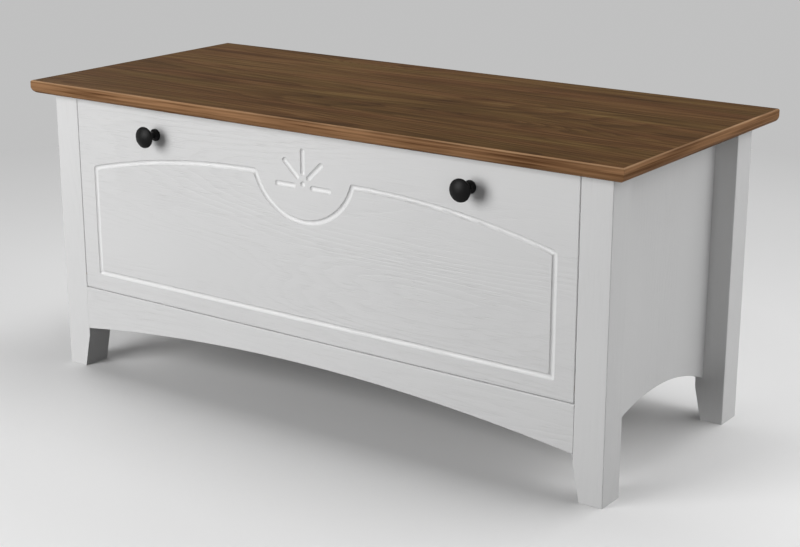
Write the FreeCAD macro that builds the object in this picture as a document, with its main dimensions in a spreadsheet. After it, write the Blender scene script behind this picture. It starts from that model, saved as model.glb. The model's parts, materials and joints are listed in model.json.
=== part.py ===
"""Storage chest on four tapered posts, with a lift-up lid and a drop-front flap.

Millimetres. +Z is up, the front faces -Y, +X is to the right of someone who faces the front.
The origin is on the floor, in the middle of the chest's outline seen from above.
"""
import FreeCAD, Part
import math
import os
import Sketcher

SIZES = {
    # body
    "body_width": 958.0,
    "body_depth": 397.0,
    "body_height": 432.0,
    "post_width": 45.0,
    "foot_width": 34.0,
    "foot_taper_height": 52.0,
    "post_edge_radius": 1.2,
    # side and back panels
    "side_thickness": 12.0,
    "side_cleat_cover": 3.0,
    "side_arch_front_rise": 39.0,
    "side_arch_back_rise": 33.0,
    "side_arch_shift": 6.0,
    "back_thickness": 18.0,
    # apron
    "apron_thickness": 20.0,
    "apron_top": 132.0,
    "apron_cleat_cover": 5.5,
    "apron_arch_rise": 30.0,
    "apron_arris_radius": 2.0,
    # front top rail
    "rail_thickness": 18.0,
    "rail_height": 40.0,
    "rail_gap": 5.0,
    # bottom board and its cleats
    "bottom_thickness": 12.0,
    "bottom_step": 4.0,
    "bottom_gap": 0.5,
    "cleat_depth": 16.0,
    "cleat_height": 16.0,
    "cleat_end_gap": 24.0,
    # dowels
    "dowel_radius": 4.0,
    "side_dowel_radius": 3.0,
    "dowel_length": 30.0,
    "dowel_edge": 18.0,
    # wood screws
    "screw_radius": 1.5,
    "screw_head_radius": 3.0,
    "screw_head_height": 1.5,
    "screw_grip": 10.0,
    "cleat_screw_grip": 8.0,
    "batten_screw_grip": 12.0,
    "side_screw_skin": 2.0,
    "fit_gap": 0.05,
    # lid
    "lid_thickness": 20.0,
    "lid_side_overhang": 26.0,
    "lid_front_overhang": 25.0,
    "lid_back_margin": 3.0,
    "lid_top_radius": 3.0,
    "lid_under_radius": 10.5,
    "batten_width": 40.0,
    "batten_thickness": 16.0,
    "batten_inset": 110.0,
    "batten_end_gap": 22.0,
    # lid hinges
    "hinge_length": 60.0,
    "hinge_leaf": 22.0,
    "hinge_leaf_thickness": 1.5,
    "hinge_barrel_radius": 3.0,
    "hinge_pin_radius": 1.5,
    "hinge_knuckle_gap": 0.3,
    "hinge_inset": 130.0,
    # flap
    "flap_thickness": 20.0,
    "flap_side_gap": 1.0,
    "flap_bottom_gap": 1.2,
    "flap_top_gap": 3.0,
    "flap_edge_radius": 1.0,
    "pivot_back": 6.0,
    "pivot_up": 20.0,
    "pivot_pin_radius": 2.5,
    "pivot_pin_inside": 26.0,
    "bush_radius": 5.0,
    "bush_length": 12.0,
    "bush_end_wall": 1.5,
    # routed pattern on the flap
    "groove_width": 8.0,
    "groove_depth": 2.6,
    "pattern_side": 33.0,
    "pattern_bottom": 27.8,
    "pattern_crown_down": 64.8,
    "pattern_arch_rise": 39.2,
    "dip_half_width": 85.0,
    "dip_depth": 61.7,
    "dot_drop": 7.7,
    "side_ray_drop": 4.0,
    "side_ray_start": 16.5,
    "side_ray_end": 45.0,
    "slant_ray_start": 14.0,
    "slant_ray_end": 43.5,
    "top_ray_start": 15.8,
    "top_ray_end": 46.1,
    # knobs
    "knob_inset": 159.5,
    "knob_down": 37.0,
    "knob_length": 30.0,
    "knob_head_radius": 15.2,
    "knob_rim_height": 3.0,
    "knob_dome_height": 4.6,
    "knob_under_height": 4.0,
    "knob_flange_radius": 9.0,
    "knob_flange_height": 3.5,
    "knob_neck_radius": 5.2,
    "knob_screw_radius": 2.0,
    "knob_screw_depth": 12.0,
    "knob_screw_head_radius": 4.0,
    "knob_screw_head_height": 2.4,
    # magnetic catches
    "catch_inset": 84.0,
    "catch_width": 44.0,
    "catch_height": 13.0,
    "catch_depth": 20.0,
    "catch_gap": 0.3,
    "strike_width": 34.0,
    "strike_height": 12.0,
    "strike_thickness": 1.5,
    # stays
    "stay_thickness": 2.5,
    "stay_half_width": 6.0,
    "stay_slot_gap": 0.1,
    "stay_side_gap": 0.3,
    "stay_pin_radius": 2.5,
    "stay_head_radius": 5.5,
    "stay_head_height": 1.5,
    "anchor_plate_thickness": 2.0,
    "anchor_plate_length": 36.0,
    "anchor_plate_width": 16.0,
    "bracket_thickness": 2.0,
    "bracket_ear_radius": 8.0,
    "bracket_length": 44.0,
    "bracket_width": 24.0,
    "flap_stay_radius": 130.0,
    "flap_stay_depth": 10.0,
    "lid_stay_end_gap": 52.08,
    "lid_stay_depth": 12.0,
    "cut_overrun": 1.0,
}
SLANT_RAY_ANGLE = 43.5
FLAP_STAY_REST_ANGLE = 22.0
LID_STAY_REST_ANGLE = 25.0
FLAP_OPENING_ANGLE = 90.0
LID_OPENING_ANGLE = 85.0

# heights of the dowels as shares of the joined edge
SIDE_DOWEL_SHARES = (0.12, 0.50, 0.88)
BACK_DOWEL_SHARES = (0.10, 0.50, 0.90)
CLEAT_SCREW_SHARES = (0.06, 0.35, 0.65, 0.94)
SIDE_CLEAT_SCREW_SHARES = (0.12, 0.88)
BATTEN_SCREW_SHARES = (0.08, 0.36, 0.64, 0.92)
HINGE_SCREW_SHARE = 0.6
HINGE_SCREW_SPREAD_SHARE = 0.25
KNOB_COVE_SHARE = 1.2

VECTOR = FreeCAD.Vector
ROTATION = FreeCAD.Rotation
UPRIGHT = ROTATION()
ALONG = {
    "+X": ROTATION(VECTOR(0, 1, 0), 90),
    "-X": ROTATION(VECTOR(0, 1, 0), -90),
    "+Y": ROTATION(VECTOR(1, 0, 0), -90),
    "-Y": ROTATION(VECTOR(1, 0, 0), 90),
    "+Z": UPRIGHT,
    "-Z": ROTATION(VECTOR(1, 0, 0), 180),
}


class Size:
    """A length that knows its value and the sheet expression it comes from."""

    def __init__(self, value, text):
        self.value = float(value)
        self.text = text

    def __add__(self, other):
        other = as_size(other)
        return Size(self.value + other.value, f"({self.text} + {other.text})")

    def __sub__(self, other):
        other = as_size(other)
        return Size(self.value - other.value, f"({self.text} - {other.text})")

    def __mul__(self, other):
        other = as_size(other)
        return Size(self.value * other.value, f"{self.text} * {other.text}")

    def __truediv__(self, other):
        other = as_size(other)
        return Size(self.value / other.value, f"{self.text} / ({other.text})")

    def __neg__(self):
        return Size(-self.value, f"(0 - {self.text})")

    def __radd__(self, other):
        return as_size(other) + self

    def __rsub__(self, other):
        return as_size(other) - self

    def __rmul__(self, other):
        return as_size(other) * self


def as_size(thing):
    """Turn a plain number into a size, and leave a size as it is."""
    return thing if isinstance(thing, Size) else Size(thing, f"{float(thing):g}")


def largest(one, two):
    return Size(max(one.value, two.value), f"max({one.text}; {two.text})")


def sine(degrees):
    degrees = as_size(degrees)
    return Size(math.sin(math.radians(degrees.value)), f"sin(({degrees.text}) * 1 deg)")


def cosine(degrees):
    degrees = as_size(degrees)
    return Size(math.cos(math.radians(degrees.value)), f"cos(({degrees.text}) * 1 deg)")


def arcsine(ratio):
    """The angle in degrees that has this sine."""
    return Size(math.degrees(math.asin(ratio.value)), f"(asin({ratio.text}) / 1 deg)")


doc = FreeCAD.newDocument("storage_chest")
sheet = doc.addObject("Spreadsheet::Sheet", "sizes")
for row, (alias, number) in enumerate(SIZES.items(), start=1):
    sheet.set(f"A{row}", alias)
    sheet.set(f"B{row}", str(number))
    sheet.setAlias(f"B{row}", alias)
doc.recompute()
NAMES = {alias: Size(number, f"sizes.{alias}") for alias, number in SIZES.items()}
parts = {}


def s(alias):
    """One size of the sheet."""
    return NAMES[alias]


# Places that several pieces share

half_width = s("body_width") / 2
front_reach = largest(s("lid_front_overhang"), s("knob_length"))
lid_back_overhang = s("hinge_barrel_radius") + s("hinge_leaf") + s("lid_back_margin")
front = (front_reach - lid_back_overhang - s("body_depth")) / 2
back = front + s("body_depth")
post_inside = half_width - s("post_width")
side_outside = post_inside + s("side_thickness")
side_start = front + s("post_width")
side_end = back - s("post_width")
side_length = side_end - side_start
top = s("body_height")
back_inside = back - s("back_thickness")
bottom_top = s("apron_top") - s("bottom_step")
bottom_under = bottom_top - s("bottom_thickness")
cleat_under = bottom_under - s("cleat_height")
apron_crown = cleat_under - s("apron_cleat_cover")
apron_end = apron_crown - s("apron_arch_rise")
side_crown = cleat_under - s("side_cleat_cover")
side_arch_front_end = side_crown - s("side_arch_front_rise")
side_arch_back_end = side_crown - s("side_arch_back_rise")

flap_bottom = s("apron_top") + s("flap_bottom_gap")
flap_top = top - s("flap_top_gap")
flap_half = post_inside - s("flap_side_gap")
flap_back = front + s("flap_thickness")
flap_pivot_y = front + s("pivot_back")
flap_pivot_z = flap_bottom + s("pivot_up")

hinge_y = back + s("hinge_barrel_radius")
hinge_z = top - s("hinge_barrel_radius")
hinge_places = {
    "left": -(half_width - s("hinge_inset")),
    "middle": half_width * 0,
    "right": half_width - s("hinge_inset"),
}

rail_front = flap_back + s("rail_gap")
rail_back = rail_front + s("rail_thickness")
rail_under = top - s("rail_height")

anchor_face = post_inside - s("anchor_plate_thickness")
cleat_half = post_inside - s("cleat_end_gap")
cleat_mid = cleat_under + s("cleat_height") / 2
side_cleat_start = side_start + s("cleat_end_gap")
side_cleat_end = side_end - s("cleat_end_gap")
apron_back = front + s("apron_thickness")

SIDES = {"left": -1, "right": 1}
OUTWARD = {"left": "-X", "right": "+X"}
INWARD = {"left": "+X", "right": "-X"}


# Ways to make a piece


def bind(thing, name, size):
    """Tie one property of an object to a size."""
    thing.setExpression(name, as_size(size).text)


def place(thing, at, turn=UPRIGHT):
    """Put an object at a point given in sizes."""
    at = [as_size(value) for value in at]
    thing.Placement = FreeCAD.Placement(VECTOR(*[value.value for value in at]), turn)
    for axis, value in zip("xyz", at):
        bind(thing, f"Placement.Base.{axis}", value)


def box(name, low, high):
    """A plain board between two corners."""
    thing = doc.addObject("Part::Box", name)
    for prop, start, end in zip(("Length", "Width", "Height"), low, high):
        bind(thing, prop, as_size(end) - as_size(start))
    place(thing, low)
    return thing


def rod(name, at, along, radius, length):
    """A round rod from a point, along one of the six directions."""
    thing = doc.addObject("Part::Cylinder", name)
    bind(thing, "Radius", radius)
    bind(thing, "Height", length)
    place(thing, at, ALONG[along])
    return thing


def cone(name, at, along, start_radius, end_radius, length):
    thing = doc.addObject("Part::Cone", name)
    bind(thing, "Radius1", start_radius)
    bind(thing, "Radius2", end_radius)
    bind(thing, "Height", length)
    place(thing, at, ALONG[along])
    return thing


def fuse(name, things):
    joined = doc.addObject("Part::MultiFuse", name)
    joined.Shapes = things
    return joined


def cut(name, base, tools):
    """The base with the tools taken away."""
    tool = tools[0] if len(tools) == 1 else fuse(f"{name}_tools", tools)
    result = doc.addObject("Part::Cut", name)
    result.Base = base
    result.Tool = tool
    return result


def group(name, things):
    """Several loose solids of one kind that share one name."""
    gathered = doc.addObject("Part::Compound", name)
    gathered.Links = things
    return gathered


def keep(label, thing):
    """Record a finished piece under the name of its file."""
    thing.Label = label
    parts[label] = thing
    return thing


def new_body(name):
    return doc.addObject("PartDesign::Body", name)


def new_sketch(body, plane, name):
    """A sketch on one of the body's own origin planes."""
    sketch = body.newObject("Sketcher::SketchObject", name)
    face = [one for one in body.Origin.OriginFeatures if one.Role == plane][0]
    sketch.AttachmentSupport = (face, [""])
    sketch.MapMode = "FlatFace"
    return sketch


def point(pair):
    return VECTOR(as_size(pair[0]).value, as_size(pair[1]).value, 0)


def outline(sketch, corners, arcs=None):
    """Draw a closed loop. arcs gives, for some edges by number, a radius and the bulge's side.

    A half circle gives the sketch X of its centre as a third value, which then stands for the radius.
    """
    arcs = arcs or {}
    count = len(corners)
    first = sketch.GeometryCount
    ends = []
    for number, corner in enumerate(corners):
        start = point(corner)
        end = point(corners[(number + 1) % count])
        if number in arcs:
            radius, bulge = arcs[number][:2]
            geometry = Part.Arc(start, arc_middle(start, end, as_size(radius).value, bulge), end)
        else:
            geometry = Part.LineSegment(start, end)
        index = sketch.addGeometry(geometry, False)
        near, far = (sketch.getPoint(index, end_number).distanceToPoint(start) for end_number in (1, 2))
        ends.append((1, 2) if near <= far else (2, 1))
    for number, corner in enumerate(corners):
        after = (number + 1) % count
        sketch.addConstraint(
            Sketcher.Constraint("Coincident", first + number, ends[number][1], first + after, ends[after][0])
        )
        for kind, value in zip(("DistanceX", "DistanceY"), corner):
            value = as_size(value)
            made = sketch.addConstraint(
                Sketcher.Constraint(kind, -1, 1, first + number, ends[number][0], value.value)
            )
            bind(sketch, f"Constraints[{made}]", value)
    for number, arc in arcs.items():
        size = as_size(arc[-1] if len(arc) > 2 else arc[0])
        kind = ("DistanceX", -1, 1, first + number, 3) if len(arc) > 2 else ("Radius", first + number)
        made = sketch.addConstraint(Sketcher.Constraint(*kind, size.value))
        bind(sketch, f"Constraints[{made}]", size)


def arc_middle(start, end, radius, bulge):
    """The middle point of an arc from start to end; bulge +1 is to the left of the way, -1 to the right."""
    chord = end - start
    half = chord.Length / 2
    rise = radius - math.sqrt(max(radius ** 2 - half ** 2, 0))
    side = VECTOR(-chord.y, chord.x, 0).normalize()
    return start + chord * 0.5 + side * (bulge * rise)


def circle(sketch, centre, radius):
    """A round hole or disc in a sketch."""
    index = sketch.addGeometry(Part.Circle(point(centre), VECTOR(0, 0, 1), as_size(radius).value), False)
    made = sketch.addConstraint(Sketcher.Constraint("Radius", index, as_size(radius).value))
    bind(sketch, f"Constraints[{made}]", radius)
    for kind, value in zip(("DistanceX", "DistanceY"), centre):
        value = as_size(value)
        made = sketch.addConstraint(Sketcher.Constraint(kind, -1, 1, index, 3, value.value))
        bind(sketch, f"Constraints[{made}]", value)


def pad(body, sketch, length, reverse=False):
    feature = body.newObject("PartDesign::Pad", f"{body.Name}_pad")
    feature.Profile = sketch
    feature.Length = length.value
    bind(feature, "Length", length)
    feature.Reversed = reverse
    sketch.Visibility = False
    return feature


def turned(name, profile, at, turn, arcs=None):
    """A turned piece: its profile is given as (radius, height) and spins about its own height axis."""
    body = new_body(name)
    sketch = new_sketch(body, "XZ_Plane", f"{name}_profile")
    outline(sketch, profile, arcs)
    feature = body.newObject("PartDesign::Revolution", f"{name}_spin")
    feature.Profile = sketch
    feature.ReferenceAxis = (sketch, ["V_Axis"])
    feature.Angle = 360
    sketch.Visibility = False
    place(body, at, turn)
    return body


def soften(body, feature, radius, wanted):
    """Round the edges that the test picks, in the body's own axes."""
    doc.recompute()
    edges = [f"Edge{number}" for number, edge in enumerate(feature.Shape.Edges, start=1) if wanted(edge)]
    rounded = body.newObject("PartDesign::Fillet", f"{body.Name}_rounding")
    rounded.Base = (feature, edges)
    rounded.Radius = radius.value
    bind(rounded, "Radius", radius)
    return rounded


def runs_along(edge, axis):
    """True for a straight edge that is parallel to one axis."""
    if len(edge.Vertexes) < 2 or not isinstance(edge.Curve, Part.Line):
        return False
    way = edge.Vertexes[1].Point - edge.Vertexes[0].Point
    return abs(abs(way.normalize().dot(axis)) - 1) < TINY


TINY = 1e-6
X_AXIS = VECTOR(1, 0, 0)
Y_AXIS = VECTOR(0, 1, 0)
Z_AXIS = VECTOR(0, 0, 1)


def wood_screws(name, places):
    """Countersunk wood screws. Each place gives the middle of the flat head, the way in and the length."""
    made = []
    for number, (at, along, length) in enumerate(places):
        wide, thin = s("screw_head_radius"), s("screw_radius")
        head = cone(f"{name}_head_{number}", at, along, wide, thin, s("screw_head_height"))
        shank = rod(f"{name}_shank_{number}", at, along, thin, length)
        made.append(fuse(f"{name}_{number}", [head, shank]))
    return made


def screw_sinks(name, places):
    """The countersunk holes that such screws sit in, cut from every piece that they pass."""
    made = []
    for number, (at, along, length) in enumerate(places):
        wide, thin = s("screw_head_radius") + s("fit_gap"), s("screw_radius") + s("fit_gap")
        made.append(cone(f"{name}_sink_{number}", at, along, wide, thin, s("screw_head_height")))
        made.append(rod(f"{name}_bore_{number}", at, along, thin, length + s("fit_gap")))
    return made


# Posts


def dowel_hole(name, at, along, radius):
    """A blind hole for one half of a dowel, from the joint face inwards."""
    return rod(name, at, along, radius + s("fit_gap"), s("dowel_length") / 2 + s("fit_gap"))


def apron_dowel_heights():
    return [apron_end + s("dowel_edge"), s("apron_top") - s("dowel_edge")]


def rail_dowel_height():
    return top - s("rail_height") / 2


def side_dowel_heights():
    low = side_arch_front_end + s("dowel_edge")
    return [low + (top - low) * share for share in SIDE_DOWEL_SHARES]


def back_dowel_heights():
    return [apron_end + (top - apron_end) * share for share in BACK_DOWEL_SHARES]


side_dowel_x = (post_inside + side_outside) / 2
apron_dowel_y = front + s("apron_thickness") / 2
rail_dowel_y = rail_front + s("rail_thickness") / 2
back_dowel_y = back - s("back_thickness") / 2


def cross_dowels(row):
    """Places of the dowels that run along X into one post, as (y, z)."""
    if row == "front":
        low = [(apron_dowel_y, height) for height in apron_dowel_heights()]
        return low + [(rail_dowel_y, rail_dowel_height())]
    return [(back_dowel_y, height) for height in back_dowel_heights()]


def make_post(row, side):
    """One square post with its foot tapered on the inner side."""
    sign = SIDES[side]
    label = f"post_{row}_{side}"
    body = new_body(f"{label}_blank")
    sketch = new_sketch(body, "XZ_Plane", f"{label}_outline")
    foot = s("foot_width") * -sign
    width = s("post_width") * -sign
    outline(sketch, [(0, 0), (foot, 0), (width, s("foot_taper_height")), (width, top), (0, top)])
    blank = pad(body, sketch, s("post_width"), reverse=True)
    soften(body, blank, s("post_edge_radius"), lambda edge: runs_along(edge, Z_AXIS))
    start = front if row == "front" else back - s("post_width")
    place(body, (half_width * sign, start, 0))
    joint = start + s("post_width") if row == "front" else start
    way = "-Y" if row == "front" else "+Y"
    outward = OUTWARD[side]
    holes = []
    for number, height in enumerate(side_dowel_heights()):
        at = (side_dowel_x * sign, joint, height)
        holes.append(dowel_hole(f"{label}_side_hole_{number}", at, way, s("side_dowel_radius")))
    for number, (y, z) in enumerate(cross_dowels(row)):
        at = (post_inside * sign, y, z)
        holes.append(dowel_hole(f"{label}_cross_hole_{number}", at, outward, s("dowel_radius")))
    if row == "front":
        at = (post_inside * sign, flap_pivot_y, flap_pivot_z)
        radius = s("bush_radius") + s("fit_gap")
        holes.append(rod(f"{label}_bush_hole", at, outward, radius, s("bush_length") + s("fit_gap")))
    keep(label, cut(f"{label}_drilled", body, holes))


for row in ("front", "back"):
    for side in SIDES:
        make_post(row, side)


# Side panels with an arched lower edge

# the lid's stays are as long as the depth under them allows when the lid is shut
lid_stay_drop = top - s("lid_stay_depth") - bottom_top - s("lid_stay_end_gap")
lid_stay_half_swing = (LID_STAY_REST_ANGLE + LID_OPENING_ANGLE) / 2
lid_stay_reach_share = sine(lid_stay_half_swing) * cosine(LID_STAY_REST_ANGLE / 2) * 2
lid_stay_radius = lid_stay_drop / lid_stay_reach_share
lid_stay_tilt = arcsine((s("lid_stay_depth") - s("hinge_barrel_radius")) / lid_stay_radius)
lid_anchor_tilt = lid_stay_tilt + LID_STAY_REST_ANGLE
lid_anchor_y = hinge_y - lid_stay_radius * cosine(lid_anchor_tilt)
lid_anchor_z = hinge_z - lid_stay_radius * sine(lid_anchor_tilt)
flap_stay_rise = s("flap_thickness") - s("pivot_back") + s("flap_stay_depth")
flap_stay_tilt = arcsine(flap_stay_rise / s("flap_stay_radius"))
flap_anchor_tilt = flap_stay_tilt + FLAP_STAY_REST_ANGLE
flap_anchor_y = flap_pivot_y + s("flap_stay_radius") * sine(flap_anchor_tilt)
flap_anchor_z = flap_pivot_z + s("flap_stay_radius") * cosine(flap_anchor_tilt)
anchors = {"lid": (lid_anchor_y, lid_anchor_z), "flap": (flap_anchor_y, flap_anchor_z)}


def anchor_screws(name, side):
    """Two screws of a stay's anchor plate, above and below its pin."""
    y, z = anchors[name]
    spread = s("anchor_plate_length") / 2 - s("screw_head_radius") * 2
    length = s("anchor_plate_thickness") + s("side_thickness") - s("side_screw_skin")
    return [((anchor_face * SIDES[side], y, z + spread * way), OUTWARD[side], length) for way in (-1, 1)]


def cleat_screws(name):
    """The screws of one cleat, in a row along the middle of its open face."""
    deep = s("cleat_depth")
    length = deep + s("cleat_screw_grip")
    if name in SIDES:
        x = (post_inside - deep) * SIDES[name]
        run = side_cleat_end - side_cleat_start
        rows = [(x, side_cleat_start + run * share, cleat_mid) for share in SIDE_CLEAT_SCREW_SHARES]
        return [(at, OUTWARD[name], length) for at in rows]
    y, way = (apron_back + deep, "-Y") if name == "front" else (back_inside - deep, "+Y")
    rows = [(cleat_half * (share * 2 - 1), y, cleat_mid) for share in CLEAT_SCREW_SHARES]
    return [(at, way, length) for at in rows]


def make_side_panel(side):
    sign = SIDES[side]
    label = f"side_panel_{side}"
    body = new_body(f"{label}_blank")
    sketch = new_sketch(body, "YZ_Plane", f"{label}_outline")
    middle = side_length / 2 + s("side_arch_shift")
    # two arcs meet level at the crown, which lies a little behind the middle
    front_radius = arch_radius(middle, s("side_arch_front_rise"))
    rear_radius = arch_radius(side_length - middle, s("side_arch_back_rise"))
    corners = [(0, side_arch_front_end), (middle, side_crown), (side_length, side_arch_back_end)]
    corners += [(side_length, top), (0, top)]
    outline(sketch, corners, {0: (front_radius, 1), 1: (rear_radius, 1)})
    pad(body, sketch, s("side_thickness"))
    low = post_inside if side == "right" else -side_outside
    place(body, (low, side_start, 0))
    holes = screw_sinks(f"{label}_cleat", cleat_screws(side))
    for name in anchors:
        holes += screw_sinks(f"{label}_{name}", anchor_screws(name, side))
    for number, height in enumerate(side_dowel_heights()):
        at = (side_dowel_x * sign, side_start, height)
        holes.append(dowel_hole(f"{label}_front_hole_{number}", at, "+Y", s("side_dowel_radius")))
        at = (side_dowel_x * sign, side_end, height)
        holes.append(dowel_hole(f"{label}_back_hole_{number}", at, "-Y", s("side_dowel_radius")))
    keep(label, cut(f"{label}_drilled", body, holes))


def arch_radius(half_span, rise):
    """Radius of an arc that starts level and drops by rise over half_span."""
    return (half_span * half_span + rise * rise) / (rise * 2)


for side in SIDES:
    make_side_panel(side)


# Front apron with an arched lower edge


def make_apron():
    body = new_body("front_apron_blank")
    sketch = new_sketch(body, "XZ_Plane", "front_apron_outline")
    radius = arch_radius(post_inside, s("apron_arch_rise"))
    corners = [(-post_inside, apron_end), (0, apron_crown), (post_inside, apron_end)]
    corners += [(post_inside, s("apron_top")), (-post_inside, s("apron_top"))]
    outline(sketch, corners, {0: (radius, 1), 1: (radius, 1)})
    blank = pad(body, sketch, s("apron_thickness"), reverse=True)
    height = s("apron_top").value

    def top_front(edge):
        middle = edge.BoundBox.Center
        return runs_along(edge, X_AXIS) and abs(middle.z - height) < TINY and abs(middle.y) < TINY

    soften(body, blank, s("apron_arris_radius"), top_front)
    place(body, (0, front, 0))
    holes = screw_sinks("apron_cleat", cleat_screws("front"))
    for side, sign in SIDES.items():
        for number, z in enumerate(apron_dowel_heights()):
            at = (post_inside * sign, apron_dowel_y, z)
            holes.append(dowel_hole(f"apron_hole_{side}_{number}", at, INWARD[side], s("dowel_radius")))
    keep("front_apron", cut("front_apron_drilled", body, holes))


make_apron()


# Back panel


def hinge_screws(name, owner):
    """The two screws of one leaf, towards its ends."""
    reach = s("hinge_leaf") * HINGE_SCREW_SHARE
    spread = s("hinge_length") * HINGE_SCREW_SPREAD_SHARE
    thick = s("hinge_leaf_thickness")
    if owner == "body":
        y, z, way = back + thick, hinge_z - reach, "-Y"
    else:
        y, z, way = hinge_y + reach, top - thick, "+Z"
    length = s("screw_grip") + thick
    return [((hinge_places[name] + spread * turn, y, z), way, length) for turn in (-1, 1)]


def make_back_panel():
    blank = box("back_panel_blank", (-post_inside, back_inside, apron_end), (post_inside, back, top))
    holes = screw_sinks("back_cleat", cleat_screws("back"))
    for name in hinge_places:
        holes += screw_sinks(f"back_hinge_{name}", hinge_screws(name, "body"))
    for side, sign in SIDES.items():
        for number, z in enumerate(back_dowel_heights()):
            at = (post_inside * sign, back_dowel_y, z)
            holes.append(dowel_hole(f"back_hole_{side}_{number}", at, INWARD[side], s("dowel_radius")))
    keep("back_panel", cut("back_panel_drilled", blank, holes))


make_back_panel()


# Front top rail behind the flap, which carries the catches

catch_front = flap_back + s("strike_thickness") + s("catch_gap")
catch_x = post_inside - s("catch_inset")


def catch_screws(side):
    """The two screws that go up through a catch into the rail."""
    spread = s("catch_width") / 2 - s("screw_head_radius") * 2
    z = rail_under - s("catch_height")
    length = s("catch_height") + s("screw_grip")
    middle = catch_x * SIDES[side]
    return [((middle + spread * way, rail_dowel_y, z), "+Z", length) for way in (-1, 1)]


def make_top_rail():
    low = (-post_inside, rail_front, rail_under)
    high = (post_inside, rail_back, top)
    blank = box("front_top_rail_blank", low, high)
    holes = []
    for side, sign in SIDES.items():
        at = (post_inside * sign, rail_dowel_y, rail_dowel_height())
        holes.append(dowel_hole(f"rail_hole_{side}", at, INWARD[side], s("dowel_radius")))
        holes += screw_sinks(f"rail_catch_{side}", catch_screws(side))
    keep("front_top_rail", cut("front_top_rail_drilled", blank, holes))


make_top_rail()


# Bottom board on four cleats

board_low = (-(post_inside - s("bottom_gap")), apron_back + s("bottom_gap"), bottom_under)
board_high = (post_inside - s("bottom_gap"), back_inside - s("bottom_gap"), bottom_top)
keep("bottom_board", box("bottom_board_solid", board_low, board_high))


def make_cleats():
    deep = s("cleat_depth")
    spans = {
        "front": ((-cleat_half, apron_back), (cleat_half, apron_back + deep)),
        "back": ((-cleat_half, back_inside - deep), (cleat_half, back_inside)),
        "left": ((-post_inside, side_cleat_start), (deep - post_inside, side_cleat_end)),
        "right": ((post_inside - deep, side_cleat_start), (post_inside, side_cleat_end)),
    }
    screws = []
    for name, (low, high) in spans.items():
        blank = box(f"bottom_cleat_{name}_blank", (*low, cleat_under), (*high, bottom_under))
        holes = screw_sinks(f"cleat_{name}", cleat_screws(name))
        keep(f"bottom_cleat_{name}", cut(f"bottom_cleat_{name}_drilled", blank, holes))
        screws += wood_screws(f"cleat_screw_{name}", cleat_screws(name))
    keep("cleat_screws", group("cleat_screw_set", screws))


make_cleats()


# Dowels of the frame


def make_dowels():
    dowels = []
    half = s("dowel_length") / 2
    for side, sign in SIDES.items():
        for number, z in enumerate(side_dowel_heights()):
            for row, y in (("front", side_start), ("back", side_end)):
                at = (side_dowel_x * sign, y - half, z)
                name = f"dowel_side_{side}_{row}_{number}"
                dowels.append(rod(name, at, "+Y", s("side_dowel_radius"), s("dowel_length")))
        for row in ("front", "back"):
            for number, (y, z) in enumerate(cross_dowels(row)):
                at = (post_inside * sign - half, y, z)
                name = f"dowel_cross_{side}_{row}_{number}"
                dowels.append(rod(name, at, "+X", s("dowel_radius"), s("dowel_length")))
    keep("frame_dowels", group("frame_dowel_set", dowels))


make_dowels()


# Lid hinges: surface leaves in the corner of the back face and the lid's overhang

KNUCKLES = 3
knuckle_length = (s("hinge_length") - s("hinge_knuckle_gap") * (KNUCKLES - 1)) / KNUCKLES


def knuckle_start(x_middle, number):
    step = knuckle_length + s("hinge_knuckle_gap")
    return x_middle - s("hinge_length") / 2 + step * number


def make_leaf(place_name, owner):
    """One leaf: a plate with its knuckles, bored for the pin and countersunk for two screws."""
    name = f"hinge_{place_name}_{owner}_leaf_solid"
    x_middle = hinge_places[place_name]
    radius = s("hinge_barrel_radius")
    thick = s("hinge_leaf_thickness")
    clear = radius + s("hinge_knuckle_gap")
    numbers = (0, 2) if owner == "body" else (1,)
    low_x = x_middle - s("hinge_length") / 2
    high_x = x_middle + s("hinge_length") / 2
    if owner == "body":
        low, high = (low_x, back, hinge_z - s("hinge_leaf")), (high_x, back + thick, hinge_z - clear)
    else:
        low, high = (low_x, hinge_y + clear, top - thick), (high_x, hinge_y + s("hinge_leaf"), top)
    pieces = [box(f"{name}_plate", low, high)]
    for number in numbers:
        start = knuckle_start(x_middle, number)
        end = start + knuckle_length
        at = (start, hinge_y, hinge_z)
        pieces.append(rod(f"{name}_knuckle_{number}", at, "+X", radius, knuckle_length))
        if owner == "body":
            low, high = (start, back, hinge_z - clear), (end, back + thick, hinge_z)
        else:
            low, high = (start, hinge_y, top - thick), (end, hinge_y + clear, top)
        pieces.append(box(f"{name}_tab_{number}", low, high))
    bore = s("hinge_pin_radius") + s("fit_gap")
    at = (low_x - s("cut_overrun"), hinge_y, hinge_z)
    tools = [rod(f"{name}_bore", at, "+X", bore, s("hinge_length") + s("cut_overrun") * 2)]
    tools += screw_sinks(name, hinge_screws(place_name, owner))
    return cut(f"{name}_bored", fuse(f"{name}_blank", pieces), tools)


def make_hinges():
    pins = []
    screws = {"body": [], "lid": []}
    for place_name, x_middle in hinge_places.items():
        for owner, made in screws.items():
            keep(f"hinge_{place_name}_{owner}_leaf", make_leaf(place_name, owner))
            made += wood_screws(f"hinge_screw_{place_name}_{owner}", hinge_screws(place_name, owner))
        at = (x_middle - s("hinge_length") / 2, hinge_y, hinge_z)
        pins.append(rod(f"hinge_pin_{place_name}", at, "+X", s("hinge_pin_radius"), s("hinge_length")))
    keep("hinge_pins", group("hinge_pin_set", pins))
    keep("hinge_body_screws", group("hinge_body_screw_set", screws["body"]))
    keep("hinge_lid_screws", group("hinge_lid_screw_set", screws["lid"]))


make_hinges()


# Lid board, with its battens

lid_half = half_width + s("lid_side_overhang")
lid_front = front - s("lid_front_overhang")
lid_back = back + lid_back_overhang
batten_x = post_inside - s("batten_inset")
batten_start = rail_back + s("batten_end_gap")
batten_end = back_inside - s("batten_end_gap")

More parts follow.
